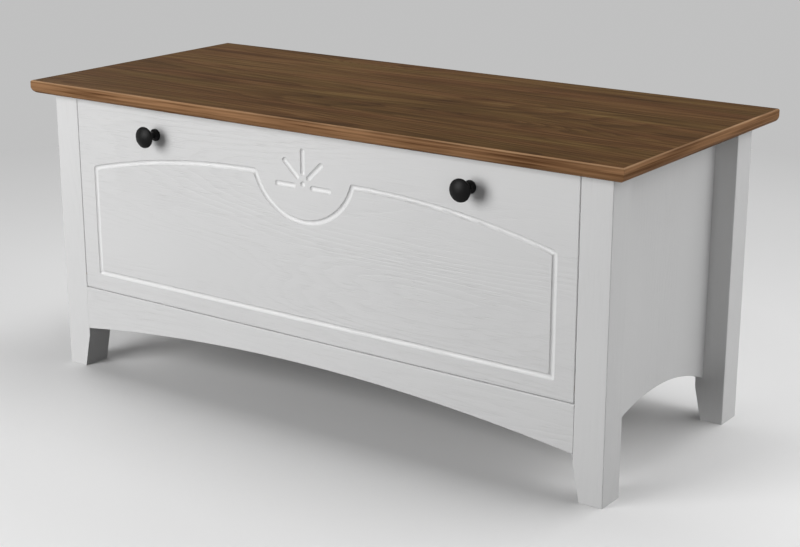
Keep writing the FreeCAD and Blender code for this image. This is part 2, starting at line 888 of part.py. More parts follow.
# planes in which the stay arms, brackets and anchors lie, from the side wall inwards
ear_outside = anchor_face - s("bracket_thickness") - s("stay_head_height")
ear_inside = ear_outside - s("bracket_thickness")
arm_outside = ear_inside - s("stay_side_gap")
arm_inside = arm_outside - s("stay_thickness")
head_outside = arm_inside - s("stay_side_gap")
head_inside = head_outside - s("stay_head_height")
lid_bracket_y = hinge_y - lid_stay_radius * cosine(lid_stay_tilt)
lid_bracket_z = top - s("lid_stay_depth")
flap_bracket_y = flap_back + s("flap_stay_depth")
flap_bracket_z = flap_pivot_z + s("flap_stay_radius") * cosine(flap_stay_tilt)
brackets = {"lid": (lid_bracket_y, lid_bracket_z), "flap": (flap_bracket_y, flap_bracket_z)}


def batten_screws(side):
    """The screws that hold a batten up against the lid."""
    under = top - s("batten_thickness")
    length = s("batten_thickness") + s("batten_screw_grip")
    run = batten_end - batten_start
    rows = [(batten_x * SIDES[side], batten_start + run * share, under) for share in BATTEN_SCREW_SHARES]
    return [(at, "+Z", length) for at in rows]


def bracket_screws(name, side):
    """The two screws of a stay's bracket, on either side of its ear."""
    y, z = brackets[name]
    x = (ear_outside - s("bracket_thickness") - s("bracket_width") / 2) * SIDES[side]
    spread = s("bracket_length") / 2 - s("screw_head_radius") * 2
    length = s("bracket_thickness") + s("screw_grip")
    if name == "lid":
        head = top - s("bracket_thickness")
        return [((x, y + spread * way, head), "+Z", length) for way in (-1, 1)]
    head = flap_back + s("bracket_thickness")
    return [((x, head, z + spread * way), "-Y", length) for way in (-1, 1)]


def make_lid():
    body = new_body("lid_board_blank")
    sketch = new_sketch(body, "XY_Plane", "lid_board_outline")
    depth = lid_back - lid_front
    outline(sketch, [(-lid_half, 0), (lid_half, 0), (lid_half, depth), (-lid_half, depth)])
    blank = pad(body, sketch, s("lid_thickness"))
    height = s("lid_thickness").value
    rear = depth.value
    upper = soften(body, blank, s("lid_top_radius"), lambda edge: abs(edge.BoundBox.ZMin - height) < TINY)

    def under(edge):
        box_of = edge.BoundBox
        return box_of.ZMax < TINY and box_of.YMin < rear - TINY and box_of.DiagonalLength > TINY

    soften(body, upper, s("lid_under_radius"), under)
    place(body, (0, lid_front, top))
    holes = []
    for name in hinge_places:
        holes += screw_sinks(f"lid_hinge_{name}", hinge_screws(name, "lid"))
    for side in SIDES:
        holes += screw_sinks(f"lid_batten_{side}", batten_screws(side))
        holes += screw_sinks(f"lid_bracket_{side}", bracket_screws("lid", side))
    keep("lid_board", cut("lid_board_drilled", body, holes))


def make_battens():
    screws = []
    half = s("batten_width") / 2
    under = top - s("batten_thickness")
    for side, sign in SIDES.items():
        middle = batten_x * sign
        low = (middle - half, batten_start, under)
        high = (middle + half, batten_end, top)
        blank = box(f"lid_batten_{side}_blank", low, high)
        holes = screw_sinks(f"batten_{side}", batten_screws(side))
        screws += wood_screws(f"batten_screw_{side}", batten_screws(side))
        keep(f"lid_batten_{side}", cut(f"lid_batten_{side}_drilled", blank, holes))
    keep("lid_batten_screws", group("lid_batten_screw_set", screws))


make_lid()
make_battens()


# Flap with its routed pattern

groove_radius = arch_radius(s("groove_width") / 2, s("groove_depth"))
groove_y = front + s("groove_depth") - groove_radius
pattern_half = flap_half - s("pattern_side")
pattern_low = flap_bottom + s("pattern_bottom")
pattern_crown = flap_top - s("pattern_crown_down")
pattern_corner = pattern_crown - s("pattern_arch_rise")
dot_z = pattern_crown - s("dot_drop")


def groove_tip(name, x, z):
    """The round print that a ball nosed cutter leaves where it enters or turns."""
    ball = doc.addObject("Part::Sphere", name)
    bind(ball, "Radius", groove_radius)
    place(ball, (x, groove_y, z))
    return ball


def groove_line(name, start, length, angle):
    """A straight groove from a point (x, z), at an angle in degrees from +X towards +Z."""
    bar = doc.addObject("Part::Cylinder", name)
    bind(bar, "Radius", groove_radius)
    bind(bar, "Height", length)
    place(bar, (start[0], groove_y, start[1]), ROTATION(Y_AXIS, 90 - angle))
    return bar


def groove_section(name, x, z):
    """The round section at the top or bottom of an arc, in the plane across X."""
    sketch = doc.addObject("Sketcher::SketchObject", name)
    place(sketch, (x, groove_y, z), ROTATION(VECTOR(1, 1, 1), 120))
    circle(sketch, (0, 0), groove_radius)
    return sketch


def groove_arc(name, section, centre, angle, sign=1, symmetric=False):
    """A groove along an arc about a centre (x, z)."""
    swept = doc.addObject("Part::Revolution", name)
    swept.Source = section
    swept.Axis = VECTOR(0, sign, 0)
    swept.Solid = True
    swept.Symmetric = symmetric
    for axis, value in zip("xyz", (centre[0], front, centre[1])):
        bind(swept, f"Base.{axis}", value)
    swept.Angle = angle.value
    bind(swept, "Angle", angle)
    return swept


def frame_grooves():
    """The frame: sides and bottom, the two halves of the arch and the dip between them."""
    tools = []
    tall = pattern_corner - pattern_low
    tools.append(groove_line("groove_bottom", (-pattern_half, pattern_low), pattern_half * 2, 0))
    span = pattern_half - s("dip_half_width")
    arch = arch_radius(span, s("pattern_arch_rise"))
    for side, sign in SIDES.items():
        corner = pattern_half * sign
        hip = s("dip_half_width") * sign
        tools.append(groove_line(f"groove_upright_{side}", (corner, pattern_low), tall, 90))
        tools.append(groove_tip(f"groove_low_tip_{side}", corner, pattern_low))
        tools.append(groove_tip(f"groove_high_tip_{side}", corner, pattern_corner))
        tools.append(groove_tip(f"groove_hip_tip_{side}", hip, pattern_crown))
        section = groove_section(f"groove_arch_section_{side}", hip, pattern_crown)
        centre = (hip, pattern_crown - arch)
        tools.append(groove_arc(f"groove_arch_{side}", section, centre, arcsine(span / arch), sign))
    dip = arch_radius(s("dip_half_width"), s("dip_depth"))
    low = pattern_crown - s("dip_depth")
    section = groove_section("groove_dip_section", as_size(0), low)
    angle = arcsine(s("dip_half_width") / dip) * 2
    tools.append(groove_arc("groove_dip", section, (as_size(0), low + dip), angle, symmetric=True))
    return tools


def ray_grooves():
    """Five short rays about a dot."""
    level = dot_z - s("side_ray_drop")
    rays = []
    for sign, angle in ((1, 0), (-1, 180)):
        start = (s("side_ray_start") * sign, level)
        rays.append((start, s("side_ray_end") - s("side_ray_start"), angle))
        run = s("slant_ray_start")
        start = (run * cosine(SLANT_RAY_ANGLE) * sign, dot_z + run * sine(SLANT_RAY_ANGLE))
        slant = SLANT_RAY_ANGLE if sign > 0 else 180 - SLANT_RAY_ANGLE
        rays.append((start, s("slant_ray_end") - run, slant))
    rays.append(((as_size(0), dot_z + s("top_ray_start")), s("top_ray_end") - s("top_ray_start"), 90))
    tools = [groove_tip("groove_dot", as_size(0), dot_z)]
    for number, (start, length, angle) in enumerate(rays):
        end_x = start[0] + length * cosine(angle)
        end_z = start[1] + length * sine(angle)
        tools.append(groove_line(f"groove_ray_{number}", start, length, angle))
        tools.append(groove_tip(f"groove_ray_start_{number}", *start))
        tools.append(groove_tip(f"groove_ray_end_{number}", end_x, end_z))
    return tools


knob_x = flap_half - s("knob_inset")
knob_z = flap_top - s("knob_down")
strike_z = rail_under - s("catch_height") / 2


def strike_screws(side):
    """The two screws of a strike plate."""
    reach = s("strike_width") / 2 - s("screw_head_radius") * 2
    head = flap_back + s("strike_thickness")
    length = s("strike_thickness") + s("screw_grip")
    return [((catch_x * SIDES[side] + reach * way, head, strike_z), "-Y", length) for way in (-1, 1)]


def make_flap():
    body = new_body("flap_panel_blank")
    sketch = new_sketch(body, "XZ_Plane", "flap_panel_outline")
    height = flap_top - flap_bottom
    outline(sketch, [(-flap_half, 0), (flap_half, 0), (flap_half, height), (-flap_half, height)])
    blank = pad(body, sketch, s("flap_thickness"), reverse=True)
    soften(body, blank, s("flap_edge_radius"), lambda edge: abs(edge.BoundBox.YMax) < TINY)
    place(body, (0, front, flap_bottom))
    tools = frame_grooves() + ray_grooves()
    for side, sign in SIDES.items():
        at = (flap_half * sign, flap_pivot_y, flap_pivot_z)
        radius = s("pivot_pin_radius") + s("fit_gap")
        reach = s("pivot_pin_inside") + s("fit_gap")
        tools.append(rod(f"flap_pivot_hole_{side}", at, INWARD[side], radius, reach))
        at = (knob_x * sign, front - s("cut_overrun"), knob_z)
        radius = s("knob_screw_radius") + s("fit_gap")
        through = s("flap_thickness") + s("cut_overrun") * 2
        tools.append(rod(f"flap_knob_hole_{side}", at, "+Y", radius, through))
        tools += screw_sinks(f"flap_bracket_{side}", bracket_screws("flap", side))
        tools += screw_sinks(f"flap_strike_{side}", strike_screws(side))
    keep("flap_panel", cut("flap_panel_routed", body, tools))


make_flap()


# Knobs, turned, with a screw from behind


def make_knob(side):
    sign = SIDES[side]
    flange = s("knob_flange_radius")
    neck = s("knob_neck_radius")
    head = s("knob_head_radius")
    base = s("knob_flange_height")
    tall = s("knob_length")
    rim_top = tall - s("knob_dome_height")
    rim_low = rim_top - s("knob_rim_height")
    under = rim_low - s("knob_under_height")
    shoulder = base / 2
    bore = s("knob_screw_radius") + s("fit_gap")
    bore_top = s("knob_screw_depth") + s("fit_gap")
    profile = [
        (bore, 0),
        (flange, 0),
        (flange, shoulder),
        (flange - shoulder, base),
        (neck, base + shoulder),
        (neck, under),
        (head, rim_low),
        (head, rim_top),
        (0, tall),
        (0, bore_top),
        (bore, bore_top),
    ]
    dome = arch_radius(head, s("knob_dome_height"))
    cove = arch_radius(head - neck, s("knob_under_height")) * KNOB_COVE_SHARE
    arcs = {2: (shoulder, -1), 5: (cove, -1), 6: (s("knob_rim_height"), -1), 7: (dome, -1)}
    at = (knob_x * sign, front, knob_z)
    keep(f"knob_{side}", turned(f"knob_{side}_turned", profile, at, ALONG["-Y"], arcs))


def make_knob_screws():
    screws = []
    for side, sign in SIDES.items():
        at = (knob_x * sign, flap_back, knob_z)
        wide, tall = s("knob_screw_head_radius"), s("knob_screw_head_height")
        head = rod(f"knob_screw_head_{side}", at, "+Y", wide, tall)
        length = s("flap_thickness") + s("knob_screw_depth")
        shank = rod(f"knob_screw_shank_{side}", at, "-Y", s("knob_screw_radius"), length)
        screws.append(fuse(f"knob_screw_{side}", [head, shank]))
    keep("knob_screws", group("knob_screw_set", screws))


for side in SIDES:
    make_knob(side)
make_knob_screws()


# Pivot pins of the flap and their bushes in the posts


def make_pivot(side):
    sign = SIDES[side]
    outward, inward = OUTWARD[side], INWARD[side]
    reach = s("bush_length") - s("bush_end_wall") - s("fit_gap")
    length = s("pivot_pin_inside") + s("flap_side_gap") + reach
    at = ((post_inside + reach) * sign, flap_pivot_y, flap_pivot_z)
    pin = rod(f"flap_pivot_pin_{side}_rod", at, inward, s("pivot_pin_radius"), length)
    keep(f"flap_pivot_pin_{side}", pin)
    at = (post_inside * sign, flap_pivot_y, flap_pivot_z)
    shell = rod(f"pivot_bush_{side}_shell", at, outward, s("bush_radius"), s("bush_length"))
    depth = s("bush_length") - s("bush_end_wall")
    bore = rod(f"pivot_bush_{side}_bore", at, outward, s("pivot_pin_radius") + s("fit_gap"), depth)
    keep(f"pivot_bush_{side}", cut(f"pivot_bush_{side}_bored", shell, [bore]))


for side in SIDES:
    make_pivot(side)


# Magnetic catches under the top rail, strike plates on the flap


def make_catches():
    plates = []
    plate_screws = []
    rail_screws = []
    for side, sign in SIDES.items():
        middle = catch_x * sign
        half = s("catch_width") / 2
        low = (middle - half, catch_front, rail_under - s("catch_height"))
        high = (middle + half, catch_front + s("catch_depth"), rail_under)
        blank = box(f"catch_{side}_blank", low, high)
        holes = screw_sinks(f"catch_{side}", catch_screws(side))
        keep(f"catch_{side}", cut(f"catch_{side}_drilled", blank, holes))
        rail_screws += wood_screws(f"catch_screw_{side}", catch_screws(side))
        half = s("strike_width") / 2
        low = (middle - half, flap_back, strike_z - s("strike_height") / 2)
        high = (middle + half, flap_back + s("strike_thickness"), strike_z + s("strike_height") / 2)
        blank = box(f"strike_{side}_blank", low, high)
        holes = screw_sinks(f"strike_{side}", strike_screws(side))
        plates.append(cut(f"strike_{side}_drilled", blank, holes))
        plate_screws += wood_screws(f"strike_screw_{side}", strike_screws(side))
    keep("catch_screws", group("catch_screw_set", rail_screws))
    keep("strike_plates", group("strike_plate_set", plates))
    keep("strike_screws", group("strike_screw_set", plate_screws))


make_catches()


# Stays: a slotted arm turns on the moving panel and slides on a pin of the side wall


def make_anchor(name, side):
    """A plate on the side wall with the headed pin that the arm's slot rides on."""
    sign = SIDES[side]
    y, z = anchors[name]
    label = f"{name}_stay_anchor_{side}"
    wide = s("anchor_plate_width") / 2
    tall = s("anchor_plate_length") / 2
    low_x, high_x = (anchor_face, post_inside) if sign > 0 else (-post_inside, -anchor_face)
    plate = box(f"{label}_plate", (low_x, y - wide, z - tall), (high_x, y + wide, z + tall))
    inward = INWARD[side]
    at = (anchor_face * sign, y, z)
    pin = rod(f"{label}_pin", at, inward, s("stay_pin_radius"), anchor_face - head_inside)
    at = (head_outside * sign, y, z)
    head = rod(f"{label}_head", at, inward, s("stay_head_radius"), s("stay_head_height"))
    blank = fuse(f"{label}_blank", [plate, pin, head])
    keep(label, cut(f"{label}_drilled", blank, screw_sinks(label, anchor_screws(name, side))))
    return wood_screws(f"{label}_screw", anchor_screws(name, side))


def make_arm(name, side, radius, rest_angle, opening, at, tilt):
    """A flat arm with a pivot hole and a slot as long as the way of the pin."""
    sign = SIDES[side]
    label = f"{name}_stay_arm_{side}"
    near = radius * sine(as_size(rest_angle) / 2) * 2
    far = radius * sine(as_size(rest_angle + opening) / 2) * 2
    half = s("stay_half_width")
    slot = s("stay_pin_radius") + s("stay_slot_gap")
    body = new_body(f"{label}_flat")
    sketch = new_sketch(body, "YZ_Plane", f"{label}_outline")
    ends = {1: (half, -1, far), 3: (half, -1, 0)}
    outline(sketch, [(0, -half), (far, -half), (far, half), (0, half)], ends)
    circle(sketch, (0, 0), slot)
    ends = {1: (slot, -1, far), 3: (slot, -1, near)}
    outline(sketch, [(near, -slot), (far, -slot), (far, slot), (near, slot)], ends)
    pad(body, sketch, s("stay_thickness"))
    low_x = arm_inside if sign > 0 else -arm_outside
    place(body, (low_x, at[0], at[1]), ROTATION(VECTOR(1, 0, 0), tilt.value))
    bind(body, "Placement.Rotation.Angle", tilt)
    keep(label, body)


def make_bracket(name, side, at):
    """An angle bracket: a plate on the panel and an ear with the hole of the arm's rivet."""
    sign = SIDES[side]
    label = f"{name}_stay_bracket_{side}"
    y, z = at
    thick = s("bracket_thickness")
    long = s("bracket_length") / 2
    ear = s("bracket_ear_radius")
    inner = ear_outside - s("bracket_width") - thick
    ear_x = (ear_inside, ear_outside) if sign > 0 else (-ear_outside, -ear_inside)
    plate_x = (inner, ear_outside) if sign > 0 else (-ear_outside, -inner)
    outward = OUTWARD[side]
    if name == "lid":
        plate_low, plate_high = (y - long, top - thick), (y + long, top)
        web_low, web_high = (y - ear, z), (y + ear, top)
    else:
        plate_low, plate_high = (flap_back, z - long), (flap_back + thick, z + long)
        web_low, web_high = (flap_back, z - ear), (y, z + ear)
    plate = box(f"{label}_plate", (plate_x[0], *plate_low), (plate_x[1], *plate_high))
    web = box(f"{label}_web", (ear_x[0], *web_low), (ear_x[1], *web_high))
    disc = rod(f"{label}_ear", (ear_inside * sign, y, z), outward, ear, thick)
    start = (ear_inside - s("cut_overrun")) * sign
    bore = s("stay_pin_radius") + s("fit_gap")
    holes = [rod(f"{label}_hole", (start, y, z), outward, bore, thick + s("cut_overrun") * 2)]
    holes += screw_sinks(label, bracket_screws(name, side))
    keep(label, cut(f"{label}_drilled", fuse(f"{label}_blank", [plate, web, disc]), holes))
    return wood_screws(f"{label}_screw", bracket_screws(name, side))


def make_rivet(name, side, at):
    """The headed rivet that holds the arm to the bracket's ear."""
    sign = SIDES[side]
    y, z = at
    inward = INWARD[side]
    label = f"{name}_rivet_{side}"
    outer = ear_outside + s("stay_head_height")
    at = (outer * sign, y, z)
    pieces = [rod(f"{label}_shank", at, inward, s("stay_pin_radius"), outer - head_inside)]
    for end, start in (("outer", outer), ("inner", head_outside)):
        at = (start * sign, y, z)
        pieces.append(rod(f"{label}_{end}", at, inward, s("stay_head_radius"), s("stay_head_height")))
    return fuse(label, pieces)


def make_stays():
    radii = {"lid": lid_stay_radius, "flap": s("flap_stay_radius")}
    rests = {"lid": LID_STAY_REST_ANGLE, "flap": FLAP_STAY_REST_ANGLE}
    openings = {"lid": LID_OPENING_ANGLE, "flap": FLAP_OPENING_ANGLE}
    # the arm points from the rivet to the anchor's pin, across the line that halves their angle
    tilts = {
        "lid": lid_stay_tilt + LID_STAY_REST_ANGLE / 2 - 90,
        "flap": -(flap_stay_tilt + FLAP_STAY_REST_ANGLE / 2),
    }
    anchor_screws = []
    for name, at in brackets.items():
        rivets = []
        screws = []
        for side in SIDES:
            anchor_screws += make_anchor(name, side)
            screws += make_bracket(name, side, at)
            rivets.append(make_rivet(name, side, at))
            make_arm(name, side, radii[name], rests[name], openings[name], at, tilts[name])
        keep(f"{name}_stay_rivets", group(f"{name}_stay_rivet_set", rivets))
        keep(f"{name}_bracket_screws", group(f"{name}_bracket_screw_set", screws))
    keep("anchor_screws", group("anchor_screw_set", anchor_screws))


make_stays()


# Check the document, then write the pieces

doc.recompute()
faults = []
for thing in doc.Objects:
    if {"Invalid", "Error"} & set(thing.State):
        faults.append(f"{thing.Label}: {thing.State}")
for label, piece in parts.items():
    if piece.Shape.isNull() or not piece.Shape.isValid() or not piece.Shape.Solids:
        faults.append(f"{label}: shape is null, empty or not valid")
if faults:
    raise RuntimeError("\n".join(faults))
os.makedirs("parts", exist_ok=True)
for label, piece in parts.items():
    piece.Shape.exportStep(f"parts/{label}.step")
    bounds = piece.Shape.BoundBox
    corners = (bounds.XMin, bounds.YMin, bounds.ZMin, bounds.XMax, bounds.YMax, bounds.ZMax)
    words = " ".join(f"{value:8.2f}" for value in corners)
    print(f"{label:26s} solids {len(piece.Shape.Solids):2d}  {words}")
print(len(parts), "pieces written")
for name, (y, z) in anchors.items():
    print(f"{name} anchor at y {y.value:.3f} z {z.value:.3f}")
print(f"lid axis y {hinge_y.value:.3f} z {hinge_z.value:.3f}")
print(f"flap axis y {flap_pivot_y.value:.3f} z {flap_pivot_z.value:.3f}")
print(f"lid rivet y {lid_bracket_y.value:.3f} z {lid_bracket_z.value:.3f}")
print(f"flap rivet y {flap_bracket_y.value:.3f} z {flap_bracket_z.value:.3f}")
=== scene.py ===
"""The look, the light and the camera of the storage chest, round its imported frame."""

import json
import math

import bmesh
import bpy
from mathutils import Matrix, Vector


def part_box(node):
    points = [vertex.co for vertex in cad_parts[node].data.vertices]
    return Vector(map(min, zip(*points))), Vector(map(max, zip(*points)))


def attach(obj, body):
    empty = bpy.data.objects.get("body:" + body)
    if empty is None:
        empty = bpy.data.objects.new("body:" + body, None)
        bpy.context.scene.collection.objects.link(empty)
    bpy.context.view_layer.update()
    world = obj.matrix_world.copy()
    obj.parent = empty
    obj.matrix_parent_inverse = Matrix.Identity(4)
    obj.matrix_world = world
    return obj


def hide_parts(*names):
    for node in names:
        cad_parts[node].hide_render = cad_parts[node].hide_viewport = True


MM = 0.001

# The camera, in metres and degrees: a plain lens that looks down on the front right corner.
CAMERA_PLACE = (1.3999, -1.9243, 0.8955)
CAMERA_YAW = 35.599
CAMERA_PITCH = 16.714
CAMERA_LENS = 74.96
SENSOR_WIDTH = 36.0

# Square lamps that all face one point: bearing to the right of the front and climb, in degrees, distance
# and size, in metres, and power, in watts. A surface that faces the key shows about its own colour.
LAMP_AIM = (0.0, 0.0, 0.24)
LAMPS = {
    "key": (-23, 15, 3.0, 1.7, 69),
    "overhead": (180, 78, 3.4, 1.8, 30),
    "side": (110, 20, 2.8, 2.0, 32),
    "fill": (45, 14, 4.5, 2.4, 20),
    "back": (152, 34, 3.8, 2.2, 40),
    "left": (-105, 25, 3.8, 2.2, 24),
}

# The room, all of it neutral. It looks pale, but throws little light back on the chest: the bounce is the
# floor's tone for every ray that isn't seen. The floor's rings crowd towards its middle by a power, and it
# fades into the backdrop between two distances from there, in metres.
BACKDROP_TONE = (0.53, 0.53, 0.53)
AMBIENT_TONE = (0.07, 0.07, 0.07)
FLOOR_TONE = (0.89, 0.89, 0.89)
FLOOR_BOUNCE = (0.12, 0.12, 0.12)
FLOOR_RADIUS = 9.0
FLOOR_RINGS = 24
FLOOR_SPOKES = 64
FLOOR_CROWDING = 1.6
FLOOR_FADE = (0.75, 1.9)

# Colours, linear. A pair is the deepest and the lightest tone of a surface.
PAINT = (0.72, 0.72, 0.72)
# Brighter paint for the flap's grooves and edges: painted light, which lifts their shade.
GROOVE_PAINTED_LIGHT = (0.80, 0.80, 0.80)
# The lid's stain on its top: painted darker than its edges, as painted shade.
STAIN_DEEP = (0.0355, 0.0158, 0.0042)
STAIN_MID = (0.1040, 0.0515, 0.0160)
STAIN_LIGHT = (0.1830, 0.1040, 0.0370)
RED_CAST = (1.07, 0.95, 0.94)
OLIVE_CAST = (0.96, 0.99, 0.82)
# The lid's edges: painted paler than its top, as painted light where light strikes them.
EDGE_DEEP = (0.102, 0.045, 0.018)
EDGE_LIGHT = (0.335, 0.180, 0.088)
# The lighter upper arris of the lid's edges: a painted highlight, with some wear.
EDGE_HIGHLIGHT_AND_WEAR = (0.435, 0.270, 0.150)
PINE_TONES = ((0.50, 0.31, 0.14), (0.66, 0.47, 0.26))
IRON_TONES = ((0.0036, 0.0036, 0.0038), (0.0068, 0.0066, 0.0064))
ZINC_TONES = ((0.42, 0.42, 0.41), (0.60, 0.60, 0.59))
SCREW_TONES = ((0.50, 0.50, 0.49), (0.66, 0.66, 0.65))
POLE_TONES = ((0.36, 0.36, 0.36), (0.52, 0.52, 0.52))
BRASS_TONES = ((0.42, 0.29, 0.10), (0.60, 0.44, 0.18))
PLASTIC_TONES = ((0.62, 0.62, 0.60), (0.68, 0.68, 0.66))

# Figures, in waves per metre along and across the grain, or round the outline and up for the lid's lip.
RING_RIPPLE = (5.0, 75.0)
RING_RIPPLE_SHARE = 0.035
PAINT_RING_SWELL = (0.9, 9.0)
PAINT_BROAD = (3, 3)
PAINT_PORES = (26, 620)
PAINT_PATCHES = (2.2, 9.0)
PAINT_LINES = (4.5, 190)
PAINT_BRUSH = (12, 900)
STAIN_RING_SWELL = (0.9, 8.0)
STAIN_SWAY = (1.6, 5.0)
STAIN_BANDS = (2.2, 27.0)
STAIN_HUES = (2.6, 21.0)
STAIN_STREAKS = (5.0, 210.0)
STAIN_FIBRES = (16.0, 900.0)
STAIN_PORES = (55.0, 1300.0)
BATTEN_BROAD = (2.0, 20.0)
LIP_LINES = (5.0, 300.0, 1.0)
LIP_BROAD = (6.0, 90.0, 1.0)
PINE_LINES = (3.0, 150)
PINE_FIBRES = (20, 800)
METAL_LINES = (40, 3000)

# Growth rings to one swell of the wood's tone, and how far the lid's grain sways, in metres.
PAINT_RINGS = 34
STAIN_RINGS = 26
SWAY_REACH = 0.030

# Two places where the growth rings of the lid run round a knot: middle, reach, strength.
LID_KNOTS = (
    ((-0.17, 0.185, 0.45), (0.16, 0.035, 1.0), 0.22),
    ((0.22, -0.06, 0.45), (0.26, 0.050, 1.0), 0.16),
)

# Each board's grain is moved on by this much from the board before, so that no two are alike.
GRAIN_STEP = (0.37, 0.61, 0.83)
HUE_SHIFT = 3.1

# Boards whose grain runs upright, and how strongly it shows through the paint there.
UPRIGHT = ("post_front_left", "post_front_right", "post_back_left", "post_back_right")
UPRIGHT += ("side_panel_left", "side_panel_right")
UPRIGHT_STRENGTH = 0.5

# How far sharp edges look rounded, how deep the finest relief goes, and the depths behind the flap's face
# between which its paint turns to the brighter paint of its grooves and edges: painted light there.
PAINT_EDGE = 1.2 * MM
PAINT_RELIEF = 0.26 * MM
WOOD_EDGE = 0.8 * MM
LID_RELIEF = 0.035 * MM
WOOD_RELIEF = 0.10 * MM
METAL_EDGE = 0.3 * MM
METAL_RELIEF = 0.02 * MM
IRON_RELIEF = 0.05 * MM
PLASTIC_EDGE = 0.4 * MM
PLASTIC_RELIEF = 0.02 * MM
PAINTED_LIGHT_START = 0.1 * MM
PAINTED_LIGHT_FULL = 0.9 * MM

# Fasteners: shares of the head's or the shank's radius, and lengths in metres.
RECESS_REACH_SHARE = 0.55
RECESS_HALF_SHARE = 0.13
RECESS_FOOT_SHARE = 0.50
RECESS_FOOT_HALF_SHARE = 0.8
RECESS_DEPTH_SHARE = 0.48
POINT_SHARE = 2.2
SINK_DEPTH = 1.5 * MM
RIM_ROUND = 0.12 * MM
TIP_ROUND = 0.3 * MM
PAN_HEIGHT = 2.4 * MM
RIVET_HEAD_HEIGHT = 1.5 * MM
LATHE_SIDES = 24

# Domed heads, from the crown to the rim: shares of the radius and of the height below the crown.
PAN_DOME = ((0.66, 0.0), (0.80, 0.07), (0.92, 0.20), (0.98, 0.38), (1.0, 0.60), (1.0, 1.0))
RIVET_DOME = ((0.0, 0.0), (0.35, 0.06), (0.62, 0.20), (0.82, 0.42), (0.95, 0.70), (1.0, 1.0))

# Each fastener of a group is turned further than the one before by this many radians.
SPIN_STEP = 2.4

# The pole plates of the magnetic catches: shares of the catch's width and height, and lengths in metres.
POLE_LENGTH_SHARE = 0.72
POLE_HEIGHT_SHARES = (0.36, 0.64)
POLE_DEPTH = 4.0 * MM
POLE_PROUD = 0.15 * MM
POLE_THICKNESS = 1.2 * MM
POLE_ROUND = 0.2 * MM

# Points nearer than this are one point, and a head's end is read from the points this near to it.
WELD = 0.001 * MM
END_BAND = 0.05 * MM

# Edges that turn by more degrees than this stay sharp.
SHARP_TURN = 35

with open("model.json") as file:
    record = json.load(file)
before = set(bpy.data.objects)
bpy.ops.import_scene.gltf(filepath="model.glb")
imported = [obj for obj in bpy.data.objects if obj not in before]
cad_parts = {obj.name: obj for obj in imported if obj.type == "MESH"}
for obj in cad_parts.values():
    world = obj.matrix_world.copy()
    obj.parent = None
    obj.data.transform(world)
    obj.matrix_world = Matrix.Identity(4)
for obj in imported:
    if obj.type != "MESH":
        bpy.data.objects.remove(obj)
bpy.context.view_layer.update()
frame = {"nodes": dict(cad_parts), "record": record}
nodes = frame["nodes"]


